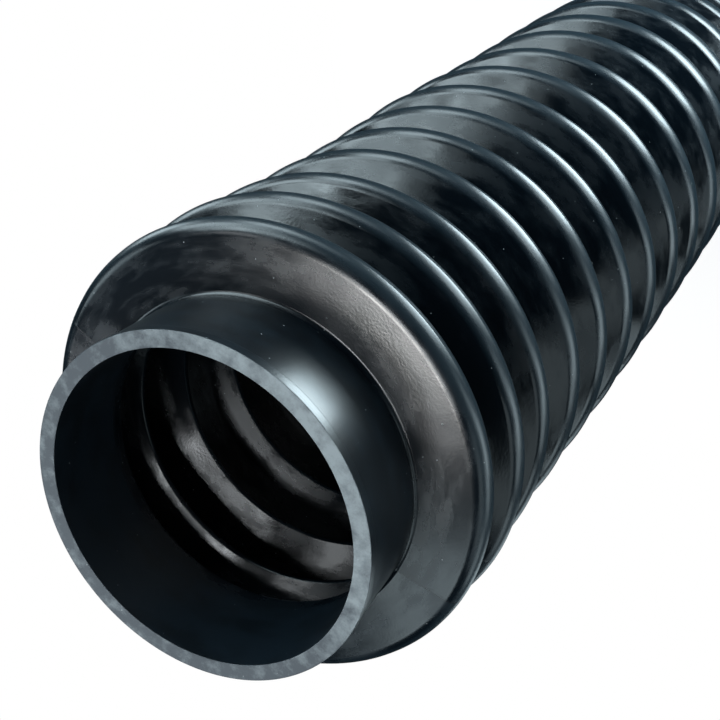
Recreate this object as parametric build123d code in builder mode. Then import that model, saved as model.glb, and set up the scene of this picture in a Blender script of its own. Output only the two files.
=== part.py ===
"""Moulded rubber bellows boot: a run of open folds between two plain clamping cuffs.

The boot stands on its lower rim with its axis on +Z, and its origin is the centre of that rim.
It is one moulding, so it is one revolved wall section. Half of the section is drawn, from the
boot's middle up to the mouth, and mirrored for the other half. All sizes are in millimetres.
"""
import os
from math import acos, atan2, hypot, sin, tan

from build123d import *

# Cuffs
bore_diameter = 56.0
cuff_wall = 3.0
cuff_length = 18.0
cuff_draft = 0.7
rim_chamfer = 0.7

# Folds: the crests beside each cuff stand closer than the ones between them
crest_diameter = 84.4
root_diameter = 57.6
fold_wall = 2.2
crest_land = 3.6
shoulder_land = 2.6
pitch = 19.0
half_gap_count = 5
end_pitch = 14.5
end_gap_count = 2
end_rise = 4.0

bore_radius = bore_diameter / 2
rim_radius = bore_radius + cuff_wall
cuff_foot_radius = rim_radius - cuff_draft
crest_radius = crest_diameter / 2
hollow_radius = crest_radius - fold_wall
root_radius = root_diameter / 2


def flank_slope(gap):
    """Radius gained for each millimetre of height on a flank that is fold_wall thick.

    The outer face ends at the crest's land and the inner face at the ridge between two folds.
    The flank leans so that these two edges lie fold_wall apart, measured square to its faces.
    """
    step_out = crest_radius - root_radius
    step_up = (gap - crest_land) / 2
    lean = acos(fold_wall / hypot(step_out, step_up)) - atan2(step_up, step_out)
    return tan(lean)


def valley_radius(gap):
    """Radius at which the outer faces of two flanks meet, midway between two crests."""
    return crest_radius - (gap - crest_land) / 2 * flank_slope(gap)


def hollow_reach(gap):
    """Height from a crest's level to the end of the hollow behind it, on the side of this gap."""
    return gap / 2 - (hollow_radius - root_radius) / flank_slope(gap)


# Levels above the boot's middle, which lies midway between two crests
gaps = [pitch] * half_gap_count + [end_pitch] * end_gap_count
outside = [(valley_radius(pitch), 0)]
inside = [(root_radius, 0)]
level = pitch / 2
outside.append((crest_radius, level - crest_land / 2))
inside.append((hollow_radius, level - hollow_reach(pitch)))
for gap in gaps:
    outside.append((crest_radius, level + crest_land / 2))
    outside.append((valley_radius(gap), level + gap / 2))
    outside.append((crest_radius, level + gap - crest_land / 2))
    inside.append((hollow_radius, level + hollow_reach(gap)))
    inside.append((root_radius, level + gap / 2))
    inside.append((hollow_radius, level + gap - hollow_reach(gap)))
    level += gap

# The last flank runs from the top crest in to the cuff's foot. Its inner face would cross the
# foot's radius at inner_end. It starts at top_hollow and meets the bore at bore_end.
cuff_level = level + end_rise
half_length = cuff_level + cuff_length
end_lean = atan2(crest_radius - cuff_foot_radius, end_rise - shoulder_land)
end_slope = tan(end_lean)
inner_end = cuff_level - fold_wall / sin(end_lean)
top_hollow = inner_end - (hollow_radius - cuff_foot_radius) / end_slope
bore_end = inner_end + (cuff_foot_radius - bore_radius) / end_slope

outside.append((crest_radius, level + shoulder_land))
outside.append((cuff_foot_radius, cuff_level))
outside.append((rim_radius, half_length))
inside.append((hollow_radius, top_hollow))
inside.append((bore_radius, bore_end))
inside.append((bore_radius, half_length))

middle = Plane(origin=(0, 0, half_length), x_dir=(1, 0, 0), z_dir=(0, -1, 0))

with BuildPart() as bellows_boot:
    with BuildSketch(middle) as wall_section:
        with BuildLine():
            Polyline(*outside, *reversed(inside), close=True)
        make_face()
        mirror(about=Plane.XZ)
    revolve(axis=Axis.Z)
    levels = edges().filter_by(GeomType.CIRCLE).group_by(Axis.Z)
    rims = [levels[0].sort_by(SortBy.RADIUS)[-1], levels[-1].sort_by(SortBy.RADIUS)[-1]]
    chamfer(rims, rim_chamfer)

bellows_boot.part.label = "bellows_boot"

os.makedirs("parts", exist_ok=True)
export_step(bellows_boot.part, "parts/bellows_boot.step")
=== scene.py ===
"""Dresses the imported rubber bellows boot: its moulded wall, its finish, the studio and the camera.

Every size is in millimetres until it goes to Blender. The boot stands on its lower cuff with its
axis on +Z, and the mould's parting plane is the XZ plane.
"""
import logging
from dataclasses import dataclass, field
from enum import Enum
from math import acos, atan2, cos, exp, hypot, pi, radians, sin, tan
from typing import Callable

import bpy
from mathutils import Euler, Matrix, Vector


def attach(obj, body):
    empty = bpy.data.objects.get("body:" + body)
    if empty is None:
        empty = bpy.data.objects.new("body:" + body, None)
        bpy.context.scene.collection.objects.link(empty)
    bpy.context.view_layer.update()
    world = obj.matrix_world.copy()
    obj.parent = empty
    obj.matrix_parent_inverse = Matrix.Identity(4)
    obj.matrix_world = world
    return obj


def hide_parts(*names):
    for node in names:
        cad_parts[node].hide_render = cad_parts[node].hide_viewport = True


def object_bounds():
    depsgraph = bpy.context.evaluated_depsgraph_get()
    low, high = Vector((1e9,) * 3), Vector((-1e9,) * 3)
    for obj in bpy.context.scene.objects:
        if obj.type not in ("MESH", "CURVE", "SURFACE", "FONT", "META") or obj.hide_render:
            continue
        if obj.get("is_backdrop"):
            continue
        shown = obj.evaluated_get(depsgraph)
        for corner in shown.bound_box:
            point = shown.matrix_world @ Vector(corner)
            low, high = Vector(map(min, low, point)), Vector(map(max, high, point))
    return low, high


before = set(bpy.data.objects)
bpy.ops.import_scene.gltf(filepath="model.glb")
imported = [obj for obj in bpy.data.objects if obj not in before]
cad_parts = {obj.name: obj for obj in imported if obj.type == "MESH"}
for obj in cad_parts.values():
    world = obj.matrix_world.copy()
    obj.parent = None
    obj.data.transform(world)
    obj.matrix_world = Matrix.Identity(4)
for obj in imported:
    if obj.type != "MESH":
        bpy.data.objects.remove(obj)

log = logging.getLogger("bellows_boot")
MM = 0.001
NODE = "bellows_boot"
WHITE = "FFFFFF"

# The finish reads each vertex's place and skin from attributes of these names
PLACE = "moulded_place"
OUTER = "outer_skin"

# Points closer together than this are one, and a point this close to a plane lies on it
TOUCH = 0.001

# Decimals of a metre to which a corner of the section is found again
PLACE_DIGITS = 7

Point = tuple[float, float]
Colour = tuple[float, float, float, float]
Tree = bpy.types.NodeTree
Socket = bpy.types.NodeSocket
Masks = dict[str, Socket]


class Round(Enum):
    """How a corner of the wall's section is rounded: the length off each side, and the steps."""

    CREST = (1.78, 4)
    SHOULDER = (2.58, 6)
    RIDGE = (1.2, 3)
    KNEE = (1.5, 2)
    HOLLOW = (0.5, 1)
    VALLEY = (0.9, 2)
    FOOT = (0.8, 3)
    LIP = (0.25, 3)
    STEP = (0.1, 1)
    RIM = (0.14, 2)


Corner = tuple[Point, Round]


def linear(hex_colour: str) -> Colour:
    """Turns an sRGB hex colour into the linear colour that a shader takes.

    Args:
        hex_colour: Six hex digits, such as "1A2B3C".

    Returns:
        Red, green, blue and an alpha of 1.
    """
    channels = [int(hex_colour[i : i + 2], 16) / 255 for i in (0, 2, 4)]
    red, green, blue = (c / 12.92 if c <= 0.04045 else ((c + 0.055) / 1.055) ** 2.4 for c in channels)
    return (red, green, blue, 1.0)


def add_node(tree: Tree, kind: str, settings: dict | None = None, **inputs: object) -> bpy.types.Node:
    """Adds a node with its settings, and sets or links its inputs.

    Args:
        tree: The node tree that takes the node.
        kind: The node's Blender type, such as "ShaderNodeMath".
        settings: Properties of the node, by name.
        **inputs: A value or an output socket for each input, named with underscores for spaces, or
            as in_0, in_1 where inputs share a name.

    Returns:
        The new node.
    """
    node = tree.nodes.new(kind)
    for name, value in (settings or {}).items():
        setattr(node, name, value)
    for name, value in inputs.items():
        key = int(name[3:]) if name.startswith("in_") else name.replace("_", " ")
        socket = node.inputs[key]
        if isinstance(value, Socket):
            tree.links.new(value, socket)
        else:
            socket.default_value = value
    return node


def empty_material(name: str) -> bpy.types.Material:
    """Makes a material without any nodes.

    Args:
        name: The material's name.

    Returns:
        The material.
    """
    material = bpy.data.materials.new(name)
    material.use_nodes = True
    material.node_tree.nodes.clear()
    return material


def select_where(mesh_object: bpy.types.Object, wanted: Callable[[bpy.types.MeshVertex], bool]) -> None:
    """Selects, in edit mode, the vertices that pass a test, and nothing else.

    Args:
        mesh_object: The object being edited.
        wanted: Says of a vertex whether it is selected.
    """
    bpy.ops.object.mode_set(mode="OBJECT")
    mesh = mesh_object.data
    chosen = [wanted(vertex) for vertex in mesh.vertices]
    chosen_edges = [all(chosen[v] for v in edge.vertices) for edge in mesh.edges]
    chosen_faces = [all(chosen[v] for v in face.vertices) for face in mesh.polygons]
    mesh.vertices.foreach_set("select", chosen)
    mesh.edges.foreach_set("select", chosen_edges)
    mesh.polygons.foreach_set("select", chosen_faces)
    bpy.ops.object.mode_set(mode="EDIT")


@dataclass
class WallSection:
    """The wall's section: its corners, worked out from the boot's sizes.

    Each cuff ends in a thin lip, which stands a little proud of it. Inside the wider folds the wall
    has a knee, so that the ridge's own flanks are flatter than the rest.
    """

    bore_radius: float = 28.0
    cuff_wall: float = 3.0
    cuff_length: float = 18.0
    cuff_draft: float = 0.7
    lip_height: float = 1.9
    lip_step: float = 0.25
    crest_radius: float = 42.2
    root_radius: float = 28.8
    fold_wall: float = 2.2
    knee_radius: float = 33.5
    knee_rise: float = 2.7
    crest_land: float = 3.6
    shoulder_land: float = 2.6
    pitch: float = 19.0
    half_gap_count: int = 5
    end_pitch: float = 14.5
    end_gap_count: int = 2
    end_rise: float = 4.0

    def hollow_radius(self) -> float:
        """Gives the radius of the hollow behind each crest."""
        return self.crest_radius - self.fold_wall

    def flank_slope(self, gap: float) -> float:
        """Works out the slope of the flanks between two crests.

        Args:
            gap: The distance between the crests.

        Returns:
            The radius gained for each millimetre of height.
        """
        step_out = self.crest_radius - self.root_radius
        step_up = (gap - self.crest_land) / 2
        return tan(acos(self.fold_wall / hypot(step_out, step_up)) - atan2(step_up, step_out))

    def valley_radius(self, gap: float) -> float:
        """Gives the radius of the outer valley between two crests."""
        return self.crest_radius - (gap - self.crest_land) / 2 * self.flank_slope(gap)

    def hollow_reach(self, gap: float) -> float:
        """Gives the height from a crest's level to the end of the hollow behind it."""
        return gap / 2 - (self.hollow_radius() - self.root_radius) / self.flank_slope(gap)

    def folds(self) -> tuple[list[Corner], list[Corner], float]:
        """Works out the corners of the upper half's folds, from the boot's middle up.

        Returns:
            The outer corners, the inner corners and the top crest's level.
        """
        half_land = self.crest_land / 2
        hollow = self.hollow_radius()
        level = self.pitch / 2
        outer = [((self.valley_radius(self.pitch), 0.0), Round.VALLEY)]
        outer.append(((self.crest_radius, level - half_land), Round.CREST))
        inner = [((self.root_radius, 0.0), Round.RIDGE)]
        inner.append(((self.knee_radius, self.knee_rise), Round.KNEE))
        inner.append(((hollow, level - self.hollow_reach(self.pitch)), Round.HOLLOW))
        for gap in [self.pitch] * self.half_gap_count + [self.end_pitch] * self.end_gap_count:
            ridge = level + gap / 2
            outer.append(((self.crest_radius, level + half_land), Round.CREST))
            outer.append(((self.valley_radius(gap), ridge), Round.VALLEY))
            outer.append(((self.crest_radius, level + gap - half_land), Round.CREST))
            inner.append(((hollow, level + self.hollow_reach(gap)), Round.HOLLOW))
            if gap == self.pitch:
                inner.append(((self.knee_radius, ridge - self.knee_rise), Round.KNEE))
            inner.append(((self.root_radius, ridge), Round.RIDGE))
            if gap == self.pitch:
                inner.append(((self.knee_radius, ridge + self.knee_rise), Round.KNEE))
            inner.append(((hollow, level + gap - self.hollow_reach(gap)), Round.HOLLOW))
            level += gap
        return outer, inner, level

    def upper_half(self) -> tuple[list[Corner], list[Corner]]:
        """Works out the corners of the upper half, from the boot's middle up to the mouth.

        Returns:
            The outer corners and the inner corners, each with the way it is rounded.
        """
        outer, inner, top = self.folds()
        rim_radius = self.bore_radius + self.cuff_wall
        foot_radius = rim_radius - self.cuff_draft
        foot_level = top + self.end_rise
        rim_level = foot_level + self.cuff_length
        outer.append(((self.crest_radius, top + self.shoulder_land), Round.SHOULDER))
        outer.append(((foot_radius, foot_level), Round.FOOT))
        outer.append(((rim_radius - self.lip_step, rim_level - self.lip_height), Round.STEP))
        outer.append(((rim_radius, rim_level - self.lip_height), Round.LIP))
        outer.append(((rim_radius, rim_level), Round.RIM))

        end_lean = atan2(self.crest_radius - foot_radius, self.end_rise - self.shoulder_land)
        inner_end = foot_level - self.fold_wall / sin(end_lean)
        hollow = self.hollow_radius()
        inner.append(((hollow, inner_end - (hollow - foot_radius) / tan(end_lean)), Round.HOLLOW))
        bore_end = inner_end + (foot_radius - self.bore_radius) / tan(end_lean)
        inner.append(((self.bore_radius, bore_end), Round.FOOT))
        inner.append(((self.bore_radius, rim_level), Round.RIM))
        return outer, inner

    def upper_middle(self, height: float) -> float:
        """Gives the level that the lamps face, some two folds below the upper cuff."""
        return height - self.cuff_length - 2 * self.pitch

    def corners(self, middle: float) -> list[Corner]:
        """Closes the whole section, mirrored about the boot's middle.

        Args:
            middle: The middle's height.

        Returns:
            Each corner's radius and height, and the way it is rounded, once round the section.
        """
        outer, inner = self.upper_half()
        lower_outer = [((r, -z), kind) for (r, z), kind in reversed(outer[1:])]
        lower_inner = [((r, -z), kind) for (r, z), kind in inner[1:]]
        ring = lower_outer + outer + inner[::-1] + lower_inner
        return [((r, z + middle), kind) for (r, z), kind in ring]


@dataclass
class Sway:
    """The boot's slight lean to and fro along its length, as rubber hangs once it is moulded.

    Each wave runs a number of half turns from rim to rim and adds its sideways reach. The rings
    stand square to the leaning centre line, and turn level again over the last, settled share.
    """

    reaches: tuple[Point, ...] = ((0.44, 0.47), (-0.55, 2.53), (0.43, -0.31), (-0.01, -0.35))
    settled: float = 0.2

    def offset(self, share: float) -> tuple[Vector, Vector]:
        """Works out where the boot's centre line lies.

        Args:
            share: The place along the boot, from 0 at the mouth to 1 at the lower rim.

        Returns:
            The sideways offset, and its rate of change with the share.
        """
        place, rate = Vector((0, 0, 0)), Vector((0, 0, 0))
        for count, (along_x, along_y) in enumerate(self.reaches, start=1):
            reach = Vector((along_x, along_y, 0))
            place += reach * sin(count * pi * share)
            rate += reach * count * pi * cos(count * pi * share)
        return place, rate * min(1.0, (1 - share) / self.settled)


@dataclass
class Swelling:
    """A place where the folds stand out on one side, as they were squeezed on the other.

    Its share is the place along the boot, as the sway has it, and spread is its reach along it. Its
    azimuth is in degrees, and the higher its focus, the less far it reaches round the boot.
    """

    share: float
    azimuth: float
    reach: float
    spread: float
    focus: int = 3

    def at(self, share: float, turn: float) -> float:
        """Works out how far the wall stands out.

        Args:
            share: The place along the boot.
            turn: The place round it, in radians.

        Returns:
            The distance.
        """
        facing = max(0.0, cos(turn - radians(self.azimuth)))
        return self.reach * facing**self.focus * exp(-(((share - self.share) / self.spread) ** 2))


@dataclass
class SoftMouth:
    """The free cuff's slight sag: its rim has moved aside and gone a little out of round.

    It is wider across its long axis, an azimuth in degrees, and moves down to its depth below the rim.
    """

    shift: Point = (-0.36, 0.1)
    oval: float = 0.25
    long_axis: float = -51.5
    depth: float = 24.0

    def move(self, x: float, y: float, below_rim: float) -> Vector:
        """Works out how far a point of the cuff has moved.

        Args:
            x: The point's place along X.
            y: The point's place along Y.
            below_rim: Its depth below the mouth's rim.

        Returns:
            The sideways move.
        """
        share = max(0.0, 1 - below_rim / self.depth)
        turn = atan2(y, x)
        stretch = self.oval * cos(2 * (turn - radians(self.long_axis)))
        along_x, along_y = self.shift
        return Vector((along_x + stretch * cos(turn), along_y + stretch * sin(turn), 0)) * share


@dataclass
class BellowsBoot:
    """The moulded boot, spun from its wall section as one piece.

    Its turns are the steps round the wall. At a normal weight of 100, the larger faces alone set
    the shading where two faces meet.
    """

    height: float
    section: WallSection = field(default_factory=WallSection)
    sway: Sway = field(default_factory=Sway)
    mouth: SoftMouth = field(default_factory=SoftMouth)
    swellings: tuple[Swelling, ...] = (
        Swelling(0.117, -16.0, 0.6, 0.03),
        Swelling(0.117, 164.0, 0.9, 0.03),
        Swelling(0.42, -16.0, 2.0, 0.11),
    )
    turns: int = 224
    normal_weight: int = 100
    flash_width: float = 0.28
    flash_height: float = 0.04
    corners: list[Corner] = field(default_factory=list)
    piece: bpy.types.Object | None = None

    def build(self) -> bpy.types.Object:
        """Makes the boot's mesh.

        Returns:
            The finished piece, with its object at the origin.
        """
        self.draw_section()
        self.round_corners()
        self.spin_wall()
        self.raise_flash()
        self.mark_places()
        self.lean()
        self.weigh_normals()
        return self.piece

    def draw_section(self) -> None:
        """Adds a ring of vertices and pulls each one to its corner of the section."""
        self.corners = self.section.corners(self.height / 2)
        bpy.ops.object.select_all(action="DESELECT")
        bpy.ops.mesh.primitive_circle_add(
            vertices=len(self.corners), radius=self.section.crest_radius * MM
        )
        self.piece = bpy.context.active_object
        self.piece.name = self.piece.data.name = "moulded_boot"
        for vertex, ((radius, level), _) in zip(self.piece.data.vertices, self.corners):
            vertex.co = Vector((radius, 0, level)) * MM

    def round_corners(self) -> None:
        """Rounds the section's corners, one kind of corner at a time."""
        bpy.ops.object.mode_set(mode="EDIT")
        bpy.ops.mesh.select_mode(type="VERT")
        for kind in Round:
            places = [Vector((r, 0, z)) * MM for (r, z), corner in self.corners if corner is kind]
            keys = {self.key(place) for place in places}
            select_where(self.piece, lambda vertex: self.key(vertex.co) in keys)
            reach, steps = kind.value
            bpy.ops.mesh.bevel(offset=reach * MM, segments=steps, affect="VERTICES", clamp_overlap=True)
        bpy.ops.object.mode_set(mode="OBJECT")

    @staticmethod
    def key(place: Vector) -> Point:
        """Gives the rounded place by which a corner of the section is found again."""
        return round(place.x, PLACE_DIGITS), round(place.z, PLACE_DIGITS)

    def spin_wall(self) -> None:
        """Spins the section round the boot's axis and closes the wall."""
        bpy.ops.object.mode_set(mode="EDIT")
        bpy.ops.mesh.select_all(action="SELECT")
        bpy.ops.mesh.spin(steps=self.turns, angle=2 * pi, center=(0, 0, 0), axis=(0, 0, 1))
        bpy.ops.mesh.select_all(action="SELECT")
        bpy.ops.mesh.remove_doubles(threshold=TOUCH * MM)
        bpy.ops.mesh.normals_make_consistent(inside=False)
        bpy.ops.object.mode_set(mode="OBJECT")
        bpy.ops.object.shade_smooth()

    def raise_flash(self) -> None:
        """Raises the thin line of flash that the mould's two halves leave on the outer skin."""
        on_plane = TOUCH * MM
        bpy.ops.object.mode_set(mode="EDIT")
        select_where(self.piece, lambda vertex: abs(vertex.co.y) < on_plane)

        # Two segments keep an edge on the plane, which is then raised from its two neighbours
        bpy.ops.mesh.select_mode(type="EDGE")
        half_width = self.flash_width / 2 * MM
        bpy.ops.mesh.bevel(offset=half_width, segments=2, affect="EDGES", clamp_overlap=True)
        bpy.ops.mesh.select_mode(type="VERT")
        select_where(
            self.piece,
            lambda vertex: abs(vertex.co.y) < on_plane and vertex.co.x * vertex.normal.x > 0,
        )
        bpy.ops.transform.shrink_fatten(value=self.flash_height * MM)
        bpy.ops.object.mode_set(mode="OBJECT")

    def mark_places(self) -> None:
        """Notes each vertex's place in the mould, in millimetres, and whether it is outer skin."""
        mesh = self.piece.data
        places = [along / MM for vertex in mesh.vertices for along in vertex.co]
        mesh.attributes.new(PLACE, "FLOAT_VECTOR", "POINT").data.foreach_set("vector", places)
        outer = [float(v.co.x * v.normal.x + v.co.y * v.normal.y > 0) for v in mesh.vertices]
        mesh.attributes.new(OUTER, "FLOAT", "POINT").data.foreach_set("value", outer)

    def lean(self) -> None:
        """Leans the wall along its centre line, each ring square to it, and lets the mouth sag."""
        for vertex in self.piece.data.vertices:
            x, y, z = vertex.co / MM
            share, turn = 1 - z / self.height, atan2(y, x)
            offset, rate = self.sway.offset(share)
            swell = sum(swelling.at(share, turn) for swelling in self.swellings)
            outwards = Vector((cos(turn), sin(turn), 0))
            offset = offset + self.mouth.move(x, y, self.height - z) + outwards * swell
            drop = (x * rate.x + y * rate.y) / self.height
            vertex.co = (Vector((x, y, z + drop)) + offset) * MM

    def weigh_normals(self) -> None:
        """Keeps the flanks' shading straight, so that only the rounded corners turn it."""
        bpy.ops.object.modifier_add(type="WEIGHTED_NORMAL")
        modifier = self.piece.modifiers[-1]
        modifier.mode = "FACE_AREA"
        modifier.weight = self.normal_weight
        bpy.ops.object.modifier_apply(modifier=modifier.name)


@dataclass(frozen=True)
class MouldedRubber:
    """Carbon-black rubber, moulded against polished steel, with its rims cut square.

    Sizes, heights and reaches are in millimetres. A pair of numbers gives where a mask begins and
    where it is full: a reach or a depth in millimetres, or the value of a noise. The side towards
    which the painted sheen on the rims grows is an azimuth in degrees.
    """

    height: float
    crest_radius: float
    end_length: float
    cuff_length: float

    # Polished steel leaves a near-black skin that mirrors a lamp with a soft edge. The wall shrinks
    # unevenly as it cools, and that bends the edges of what it mirrors.
    skin: str = "060D13"
    gloss: float = 0.14
    ior: float = 1.65
    undulation_size: float = 9.0
    undulation_height: float = 0.08
    undulation_detail: float = 1.0

    # The skin's grain is about 0.1 mm across, too fine to show, so it is drawn coarser. It breaks up
    # the lamps' edges a little.
    grain_size: float = 0.4
    grain_height: float = 0.011
    grain_detail: float = 2.0

    # Bloom, a wax that comes to the surface, is wiped into smears that blur what they mirror.
    bloom: str = "0D171E"
    bloom_noise: Point = (0.44, 0.6)
    smear_length: float = 15.0
    smear_width: float = 5.0
    smear_detail: float = 6.0
    streak_fineness: float = 0.6

    # The crests are rubbed to a greyer, duller band that shows a lamp as a broad soft line.
    worn: str = "1A262D"
    worn_depth: Point = (1.4, 0.3)

    # The mould was blasted where it forms the cuffs and the flanks beside them, so they are duller,
    # and handling has dulled the cuffs further. Their inner wall is painted a paler teal than the outer
    # skin, a painted bounce light.
    bore_painted_light: str = "131F28"
    blasted_fade: float = 2.5
    cuff_fade: float = 1.5

    # The line of flash was trimmed, so it has no bloom on it and is duller than the skin.
    parting_reach: Point = (0.2, 0.08)

    # Hairline scores run round the boot. Real ones are too fine to show, so they are drawn wider.
    hairline_length: float = 9.0
    hairline_width: float = 0.3
    hairline_detail: float = 1.0
    hairline_noise: Point = (0.7, 0.86)

    # Specks of dust are drawn at the size of the largest ones, because the rest are too fine to show.
    # Each is solid out to its core, a share of its size.
    dust: str = "8D969A"
    dust_spacing: float = 2.6
    dust_size: float = 0.11
    dust_core: float = 0.7

    # A cut across rubber leaves it grey and matt. It tears at its fillers, so the rims show small pale
    # scuffs. Towards one side these are painted thicker, a painted sheen that makes that side paler.
    cut: str = "303A42"
    cut_depth: Point = (0.12, 0.02)
    scuffs_and_painted_sheen: str = "6E797E"
    scuff_size: float = 3.5
    scuff_detail: float = 7.0
    scuff_fineness: float = 0.7
    scuff_noise: Point = (0.49, 0.82)
    painted_sheen_side: float = 240.0
    painted_sheen_reach: Point = (2.0, 28.0)
    painted_sheen_share: float = 0.26

    def material(self) -> bpy.types.Material:
        """Makes the finish.

        Returns:
            The material.
        """
        material = empty_material("moulded_black_rubber")
        tree = material.node_tree
        place = add_node(tree, "ShaderNodeAttribute", {"attribute_name": PLACE}).outputs["Vector"]
        masks = self.masks(tree, place)
        shader = add_node(
            tree,
            "ShaderNodeBsdfPrincipled",
            Base_Color=self.colour(tree, masks),
            Roughness=self.roughness(tree, masks),
            IOR=self.ior,
            Normal=self.relief(tree, place),
        )
        add_node(tree, "ShaderNodeOutputMaterial", Surface=shader.outputs["BSDF"])
        return material

    def masks(self, tree: Tree, place: Socket) -> Masks:
        """Finds where each of the layers over the plain skin lies.

        Args:
            tree: The material's nodes.
            place: The place in the mould.

        Returns:
            A mask from 0 to 1 for each layer.
        """
        along = add_node(tree, "ShaderNodeSeparateXYZ", Vector=place).outputs
        outer = add_node(tree, "ShaderNodeAttribute", {"attribute_name": OUTER}).outputs["Fac"]
        masks = self.wear_masks(tree, along)
        masks.update(self.end_masks(tree, along["Z"], outer))
        masks["parting"] = self.parting_mask(tree, along["Y"], outer)
        masks["dust"] = self.dust_mask(tree, place)
        # The rims' pale patches are scuffs, thickened towards one side by a painted sheen
        masks["scuffs_and_painted_sheen"] = self.scuffs_and_sheen_mask(tree, place, masks["cut"])
        return masks

    def wear_masks(self, tree: Tree, along: bpy.types.bpy_prop_collection) -> Masks:
        """Finds where the skin has bloomed, is worn and is scored.

        Args:
            tree: The material's nodes.
            along: The place in the mould along X, Y and Z.

        Returns:
            The masks of the bloom, the worn crests and the hairlines.
        """
        flat = add_node(tree, "ShaderNodeCombineXYZ", X=along["X"], Y=along["Y"]).outputs[0]
        length = add_node(tree, "ShaderNodeVectorMath", {"operation": "LENGTH"}, Vector=flat)
        radius = length.outputs["Value"]
        turn = add_node(
            tree, "ShaderNodeMath", {"operation": "ARCTAN2"}, in_0=along["Y"], in_1=along["X"]
        )
        wall = (turn.outputs[0], radius, along["Z"])

        smears = self.streaks(tree, wall, self.smear_length, self.smear_width, self.smear_detail)
        start, full = self.bloom_noise
        bloom = add_node(tree, "ShaderNodeMapRange", Value=smears, From_Min=start, From_Max=full)

        scores = self.streaks(
            tree, wall, self.hairline_length, self.hairline_width, self.hairline_detail
        )
        start, full = self.hairline_noise
        hairline = add_node(tree, "ShaderNodeMapRange", Value=scores, From_Min=start, From_Max=full)

        start, full = (self.crest_radius - depth for depth in self.worn_depth)
        worn = add_node(tree, "ShaderNodeMapRange", Value=radius, From_Min=start, From_Max=full)
        return {"bloom": bloom.outputs[0], "hairline": hairline.outputs[0], "worn": worn.outputs[0]}

    def streaks(
        self, tree: Tree, wall: tuple[Socket, Socket, Socket], length: float, width: float, detail: float
    ) -> Socket:
        """Makes noise that is drawn out round the boot, the way that it is wiped and turned.

        Args:
            tree: The material's nodes.
            wall: The turn round the boot in radians, the distance from its axis and the height.
            length: The streaks' length round the boot.
            width: Their width.
            detail: The noise's detail.

        Returns:
            The noise.
        """
        turn, radius, level = wall
        round_wall = add_node(
            tree,
            "ShaderNodeMath",
            {"operation": "MULTIPLY"},
            in_0=turn,
            in_1=self.crest_radius * width / length,
        )
        track = add_node(tree, "ShaderNodeCombineXYZ", X=round_wall.outputs[0], Y=radius, Z=level)
        noise = add_node(
            tree,
            "ShaderNodeTexNoise",
            Vector=track.outputs[0],
            Scale=1 / width,
            Detail=detail,
            Roughness=self.streak_fineness,
        )
        return noise.outputs["Fac"]

    def end_masks(self, tree: Tree, level: Socket, outer: Socket) -> Masks:
        """Finds where the ends were blasted and cut, and tells the cuffs' outer skin from their inner
        wall.

        Args:
            tree: The material's nodes.
            level: The height.
            outer: Whether the skin is the outer one.

        Returns:
            The masks of the cut rims, the blasted ends, the cuffs' outer skin and their inner wall,
            which carries the painted bounce light.
        """
        half = self.height / 2
        above = add_node(tree, "ShaderNodeMath", {"operation": "SUBTRACT"}, in_0=level, in_1=half)
        from_middle = add_node(tree, "ShaderNodeMath", {"operation": "ABSOLUTE"}, in_0=above.outputs[0])
        ranges = {
            "cut": (half - self.cut_depth[0], half - self.cut_depth[1]),
            "end": (half - self.end_length - self.blasted_fade, half - self.end_length),
            "cuff": (half - self.cuff_length, half - self.cuff_length + self.cuff_fade),
        }
        found = {}
        for name, (start, full) in ranges.items():
            mask = add_node(
                tree, "ShaderNodeMapRange", Value=from_middle.outputs[0], From_Min=start, From_Max=full
            )
            found[name] = mask.outputs[0]

        blasted = add_node(
            tree, "ShaderNodeMath", {"operation": "MULTIPLY"}, in_0=found["end"], in_1=outer
        )
        cuff = add_node(
            tree, "ShaderNodeMath", {"operation": "MULTIPLY"}, in_0=found["cuff"], in_1=outer
        )
        # This mask of the cuffs' inner wall also places the painted bounce light there
        bore_painted_light = add_node(
            tree, "ShaderNodeMath", {"operation": "SUBTRACT"}, in_0=found["cuff"], in_1=cuff.outputs[0]
        )
        return {
            "cut": found["cut"],
            "blasted": blasted.outputs[0],
            "cuff": cuff.outputs[0],
            "bore_painted_light": bore_painted_light.outputs[0],
        }

    def parting_mask(self, tree: Tree, sideways: Socket, outer: Socket) -> Socket:
        """Finds the line of flash, which stands on the parting plane.

        Args:
            tree: The material's nodes.
            sideways: The place along Y.
            outer: Whether the skin is the outer one.

        Returns:
            The mask.
        """
        start, full = self.parting_reach
        aside = add_node(tree, "ShaderNodeMath", {"operation": "ABSOLUTE"}, in_0=sideways)
        near = add_node(
            tree, "ShaderNodeMapRange", Value=aside.outputs[0], From_Min=start, From_Max=full
        )
        line = add_node(
            tree, "ShaderNodeMath", {"operation": "MULTIPLY"}, in_0=near.outputs[0], in_1=outer
        )
        return line.outputs[0]

    def dust_mask(self, tree: Tree, place: Socket) -> Socket:
        """Scatters the specks of dust.

        Args:
            tree: The material's nodes.
            place: The place in the mould.

        Returns:
            The mask.
        """
        edge = self.dust_size / self.dust_spacing
        cells = add_node(tree, "ShaderNodeTexVoronoi", Vector=place, Scale=1 / self.dust_spacing)
        specks = add_node(
            tree,
            "ShaderNodeMapRange",
            Value=cells.outputs["Distance"],
            From_Min=edge,
            From_Max=edge * self.dust_core,
        )
        return specks.outputs[0]

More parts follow.
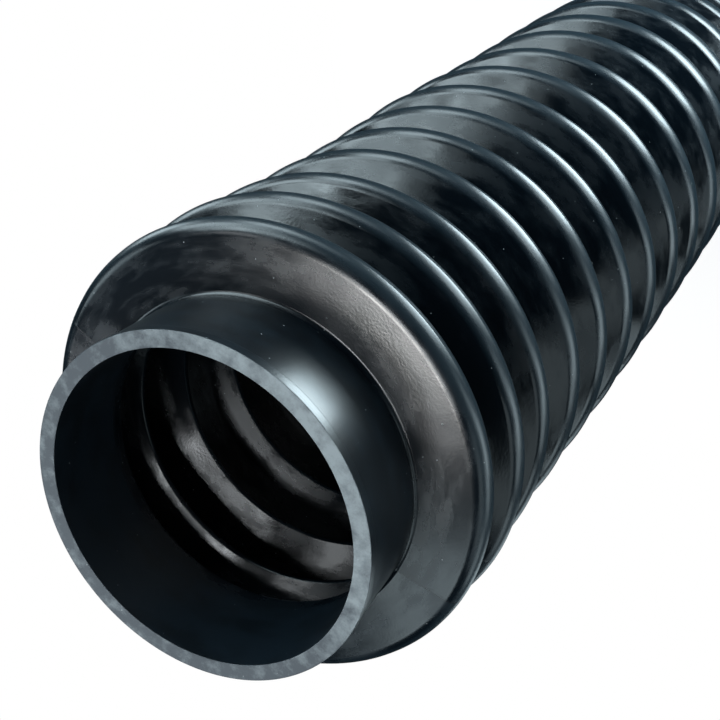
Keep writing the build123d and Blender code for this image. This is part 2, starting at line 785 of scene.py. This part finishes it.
    def scuffs_and_sheen_mask(self, tree: Tree, place: Socket, cut: Socket) -> Socket:
        """Scatters the pale patches on the cut rims, thicker towards one side as a painted sheen.

        Args:
            tree: The material's nodes.
            place: The place in the mould.
            cut: Where the rims are cut.

        Returns:
            The mask.
        """
        scuffs = add_node(
            tree,
            "ShaderNodeTexNoise",
            Vector=place,
            Scale=1 / self.scuff_size,
            Detail=self.scuff_detail,
            Roughness=self.scuff_fineness,
        )
        # Towards one side the patches grow thicker, a painted sheen on that side of the rims
        turn = radians(self.painted_sheen_side)
        towards = add_node(
            tree,
            "ShaderNodeVectorMath",
            {"operation": "DOT_PRODUCT"},
            in_0=place,
            in_1=(cos(turn), sin(turn), 0.0),
        )
        start, full = self.painted_sheen_reach
        side = add_node(
            tree, "ShaderNodeMapRange", Value=towards.outputs["Value"], From_Min=start, From_Max=full
        )
        thicker = add_node(
            tree,
            "ShaderNodeMath",
            {"operation": "MULTIPLY_ADD"},
            in_0=side.outputs[0],
            in_1=self.painted_sheen_share,
            in_2=scuffs.outputs["Fac"],
        )
        start, full = self.scuff_noise
        pale_patches = add_node(
            tree, "ShaderNodeMapRange", Value=thicker.outputs[0], From_Min=start, From_Max=full
        )
        patches = add_node(
            tree, "ShaderNodeMath", {"operation": "MULTIPLY"}, in_0=cut, in_1=pale_patches.outputs[0]
        )
        return patches.outputs[0]

    def colour(self, tree: Tree, masks: Masks) -> Socket:
        """Lays each layer's colour over the skin's black.

        Args:
            tree: The material's nodes.
            masks: Where each layer lies.

        Returns:
            The colour.
        """
        colour = linear(self.skin)
        layers = {
            # The inner wall's paler teal is a painted bounce light on the cuffs' inner wall
            "bore_painted_light": self.bore_painted_light,
            "bloom": self.bloom,
            "hairline": self.bloom,
            "worn": self.worn,
            "parting": self.skin,
            "cut": self.cut,
            # The rims' pale patches are scuffs, and on one side a painted sheen
            "scuffs_and_painted_sheen": self.scuffs_and_painted_sheen,
            "dust": self.dust,
        }
        for name, over in layers.items():
            mix = add_node(
                tree,
                "ShaderNodeMix",
                {"data_type": "RGBA"},
                in_0=masks[name],
                in_6=colour,
                in_7=linear(over),
            )
            colour = mix.outputs[2]
        return colour

    def roughness(self, tree: Tree, masks: Masks) -> Socket:
        """Dulls the skin's gloss by each layer in turn.

        Args:
            tree: The material's nodes.
            masks: Where each layer lies.

        Returns:
            The roughness.
        """
        rough = self.gloss
        layers = {
            "blasted": 0.2,
            "bloom": 0.33,
            "cuff": 0.3,
            "bore_painted_light": 0.34,
            "hairline": 0.32,
            "worn": 0.29,
            "parting": 0.3,
            "cut": 0.75,
            "dust": 0.75,
        }
        for name, over in layers.items():
            mix = add_node(tree, "ShaderNodeMix", in_0=masks[name], in_2=rough, in_3=over)
            rough = mix.outputs[0]
        return rough

    def relief(self, tree: Tree, place: Socket) -> Socket:
        """Gives the skin its soft undulation and its fine grain.

        Args:
            tree: The material's nodes.
            place: The place in the mould.

        Returns:
            The normal.
        """
        normal = None
        for size, height, detail in (
            (self.undulation_size, self.undulation_height, self.undulation_detail),
            (self.grain_size, self.grain_height, self.grain_detail),
        ):
            noise = add_node(tree, "ShaderNodeTexNoise", Vector=place, Scale=1 / size, Detail=detail)
            bump = add_node(tree, "ShaderNodeBump", Height=noise.outputs["Fac"], Distance=height * MM)
            if normal is not None:
                tree.links.new(normal, bump.inputs["Normal"])
            normal = bump.outputs["Normal"]
        return normal


@dataclass(frozen=True)
class Softbox:
    """An oblong lamp that faces a point, and that the camera doesn't see.

    Its azimuth and elevation are in degrees, as seen from that point. Its own tint is a cool white.
    """

    name: str
    azimuth: float
    elevation: float
    distance: float
    width: float
    depth: float
    glow: float
    tint: str = "DDF2FA"

    def place(self, target: Vector) -> None:
        """Adds the lamp, at the power that makes its face as bright as its glow, with 1 as white.

        Args:
            target: The point that it faces, in metres.
        """
        turn, rise = radians(self.azimuth), radians(self.elevation)
        away = Vector((cos(rise) * cos(turn), cos(rise) * sin(turn), sin(rise)))
        name = f"{self.name}_softbox"
        data = bpy.data.lights.new(name, "AREA")
        data.shape = "RECTANGLE"
        data.size = self.width * MM
        data.size_y = self.depth * MM
        data.energy = self.glow * pi * data.size * data.size_y
        data.color = linear(self.tint)[:3]
        lamp = bpy.data.objects.new(name, data)
        lamp.location = target + away * self.distance * MM
        lamp.rotation_euler = (target - lamp.location).to_track_quat("-Z", "Y").to_euler()
        lamp.visible_camera = False
        bpy.context.scene.collection.objects.link(lamp)


@dataclass
class Studio:
    """A plain white floor and plain soft light, inside a black tent that only the gloss meets.

    The tent keeps the white room out of the rubber's gloss, as black cloth does round such a part.
    The floor keeps the boot's shadow round its foot: there the white gives way to the floor's own
    light by the shadow's share, and out to the shadow's radius less and less. Each lamp is named by
    its place, or by the part that it lights, as the camera sees them.
    """

    floor_size: float = 6000.0
    floor_colour: str = "F2F3F4"
    tent_radius: float = 1500.0
    tent_rings: int = 24
    cloth_colour: str = "0B0C0D"
    cloth_level: float = 0.2
    foot_radius: float = 30.0
    shadow_radius: float = 140.0
    shadow_share: float = 0.3
    fill: float = 0.2
    lamps: tuple[Softbox, ...] = (
        Softbox("upper_front", 254.0, 77.5, 700.0, 420.0, 120.0, 8.0, "F0F6FA"),
        Softbox("overhead", 74.0, 88.0, 700.0, 300.0, 180.0, 17.0, "FAFAF8"),
        Softbox("upper_rear", 74.0, 73.0, 700.0, 300.0, 180.0, 3.0, "F4F8FA"),
        Softbox("front_strip", 252.0, -14.0, 450.0, 150.0, 120.0, 5.0),
        Softbox("front_right_low", 240.0, -32.0, 375.0, 115.0, 115.0, 1.8),
        Softbox("left_near", 324.0, 8.0, 600.0, 200.0, 200.0, 4.0),
        Softbox("left_middle", 342.0, 8.0, 600.0, 200.0, 200.0, 5.5),
        Softbox("left_high", 337.0, 30.0, 600.0, 200.0, 200.0, 4.6),
        Softbox("left_front_high", 320.0, 29.0, 600.0, 200.0, 150.0, 3.4),
        Softbox("mouth_left", 346.0, 53.0, 600.0, 140.0, 140.0, 2.5, "F0F6FA"),
        Softbox("right_wide", 180.0, 30.0, 700.0, 600.0, 250.0, 0.7),
        Softbox("left_wide", 317.0, 27.0, 620.0, 360.0, 260.0, 0.8),
        Softbox("front_middle", 257.0, -27.0, 400.0, 150.0, 80.0, 5.5),
        Softbox("left_low", 318.0, -12.0, 500.0, 180.0, 160.0, 6.0),
        Softbox("left_far", 0.0, -14.0, 600.0, 200.0, 200.0, 5.0),
        Softbox("left_rear", 22.0, 28.0, 600.0, 200.0, 200.0, 2.7),
        Softbox("left_front", 300.0, -10.0, 500.0, 160.0, 160.0, 1.5),
        Softbox("right_low", 200.0, -18.0, 500.0, 180.0, 180.0, 3.0),
        Softbox("right_front", 216.0, -6.0, 500.0, 180.0, 180.0, 1.4),
        Softbox("right_rear_low", 160.0, 4.0, 600.0, 200.0, 200.0, 1.6),
        Softbox("right_rear", 118.0, 48.0, 700.0, 240.0, 240.0, 2.2),
        Softbox("back", 67.0, 30.0, 700.0, 260.0, 260.0, 8.0, "F2F6FA"),
        Softbox("right_middle", 186.0, -6.0, 500.0, 180.0, 180.0, 1.8),
        Softbox("right_rear_foot", 140.0, -30.0, 370.0, 141.0, 123.0, 1.5),
        Softbox("cuff_low", 259.0, -42.0, 300.0, 134.0, 107.0, 19.0),
    )

    def build(self, target: Vector) -> None:
        """Lays the floor, hangs the tent and sets the lamps and the world.

        Args:
            target: The point that the lamps face, in metres.
        """
        self.lay_floor()
        self.hang_tent()
        for lamp in self.lamps:
            lamp.place(target)
        self.set_world()

    @staticmethod
    def white_to_view(
        tree: Tree,
        plain: bpy.types.Node,
        white: bpy.types.Node,
        share: float | Socket = 1.0,
    ) -> bpy.types.Node:
        """Shows the camera, and whatever mirrors or lets it through, plain white.

        Args:
            tree: The nodes of the floor or the world.
            plain: The shader for all other rays.
            white: The white shader.
            share: How much of the white is seen there.

        Returns:
            The shader that mixes the two.
        """
        path = add_node(tree, "ShaderNodeLightPath").outputs
        seen = path["Is Camera Ray"]
        for ray in ("Is Glossy Ray", "Is Transmission Ray"):
            both = add_node(
                tree,
                "ShaderNodeMath",
                {"operation": "ADD", "use_clamp": True},
                in_0=seen,
                in_1=path[ray],
            )
            seen = both.outputs[0]
        shown = add_node(tree, "ShaderNodeMath", {"operation": "MULTIPLY"}, in_0=seen, in_1=share)
        return add_node(
            tree,
            "ShaderNodeMixShader",
            in_0=shown.outputs[0],
            in_1=plain.outputs[0],
            in_2=white.outputs[0],
        )

    def lay_floor(self) -> None:
        """Adds the floor that the boot stands on, whose white leaves room for the boot's shadow."""
        bpy.ops.object.select_all(action="DESELECT")
        bpy.ops.mesh.primitive_plane_add(size=self.floor_size * MM)
        floor = bpy.context.active_object
        floor.name = "studio_floor"
        material = empty_material("white_floor")
        tree = material.node_tree
        diffuse = add_node(tree, "ShaderNodeBsdfDiffuse", Color=linear(self.floor_colour))
        glow = add_node(tree, "ShaderNodeEmission", Color=linear(WHITE), Strength=1.0)
        place = add_node(tree, "ShaderNodeTexCoord").outputs["Object"]
        away = add_node(tree, "ShaderNodeVectorMath", {"operation": "LENGTH"}, Vector=place)
        share = add_node(
            tree,
            "ShaderNodeMapRange",
            Value=away.outputs["Value"],
            From_Min=self.foot_radius * MM,
            From_Max=self.shadow_radius * MM,
            To_Min=1 - self.shadow_share,
            To_Max=1.0,
        )
        surface = self.white_to_view(tree, diffuse, glow, share.outputs[0]).outputs[0]
        add_node(tree, "ShaderNodeOutputMaterial", Surface=surface)
        floor.data.materials.append(material)
        floor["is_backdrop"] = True

    def hang_tent(self) -> None:
        """Adds the black tent, a ball whose lower half lies flat on the floor."""
        bpy.ops.object.select_all(action="DESELECT")
        bpy.ops.mesh.primitive_uv_sphere_add(
            segments=2 * self.tent_rings, ring_count=self.tent_rings, radius=self.tent_radius * MM
        )
        tent = bpy.context.active_object
        tent.name = "black_tent"
        bpy.ops.object.mode_set(mode="EDIT")
        select_where(tent, lambda vertex: vertex.co.z < 0)
        bpy.ops.transform.resize(value=(1, 1, 0), center_override=(0, 0, self.cloth_level * MM))
        bpy.ops.object.mode_set(mode="OBJECT")
        material = empty_material("black_velvet")
        tree = material.node_tree
        cloth = add_node(tree, "ShaderNodeBsdfDiffuse", Color=linear(self.cloth_colour))
        add_node(tree, "ShaderNodeOutputMaterial", Surface=cloth.outputs[0])
        tent.data.materials.append(material)
        tent.visible_camera = False
        tent.visible_diffuse = False
        tent.visible_transmission = False
        tent.visible_shadow = False
        tent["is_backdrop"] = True

    def set_world(self) -> None:
        """Fills the world with plain light that is seen as white."""
        world = bpy.data.worlds.new("studio_world")
        bpy.context.scene.world = world
        world.use_nodes = True
        tree = world.node_tree
        tree.nodes.clear()
        fill = add_node(tree, "ShaderNodeBackground", Color=linear(WHITE), Strength=self.fill)
        white = add_node(tree, "ShaderNodeBackground", Color=linear(WHITE), Strength=1.0)
        surface = self.white_to_view(tree, fill, white).outputs[0]
        add_node(tree, "ShaderNodeOutputWorld", Surface=surface)


@dataclass(frozen=True)
class ViewPoint:
    """The camera, close above the mouth and turned so that the boot runs up to the right.

    Its place is in millimetres and its turn in degrees.
    """

    place: tuple[float, float, float] = (-39.87, -140.38, 448.04)
    turn: tuple[float, float, float] = (-25.962, 26.652, -153.547)
    lens: float = 61.97
    sensor: float = 36.0
    nearest: float = 10.0

    def build(self) -> None:
        """Adds the camera and makes it the scene's own."""
        data = bpy.data.cameras.new("camera")
        data.lens = self.lens
        data.sensor_width = self.sensor
        data.clip_start = self.nearest * MM
        camera = bpy.data.objects.new("camera", data)
        camera.location = Vector(self.place) * MM
        camera.rotation_euler = Euler([radians(angle) for angle in self.turn])
        bpy.context.scene.collection.objects.link(camera)
        bpy.context.scene.camera = camera


def main() -> None:
    """Builds and dresses the boot, the studio and the camera."""
    logging.basicConfig(level=logging.INFO)
    cad_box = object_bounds()
    height = (cad_box[1][2] - cad_box[0][2]) / MM
    section = WallSection()
    boot = BellowsBoot(height, section).build()
    end_length = section.cuff_length + section.end_rise
    rubber = MouldedRubber(height, section.crest_radius, end_length, section.cuff_length)
    boot.data.materials.append(rubber.material())
    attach(boot, "root")
    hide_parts(NODE)
    log.info("boot: %d faces", len(boot.data.polygons))
    Studio().build(Vector((0, 0, section.upper_middle(height))) * MM)
    ViewPoint().build()
    settings = bpy.context.scene.view_settings
    settings.view_transform = "Standard"


if __name__ == "__main__":
    main()
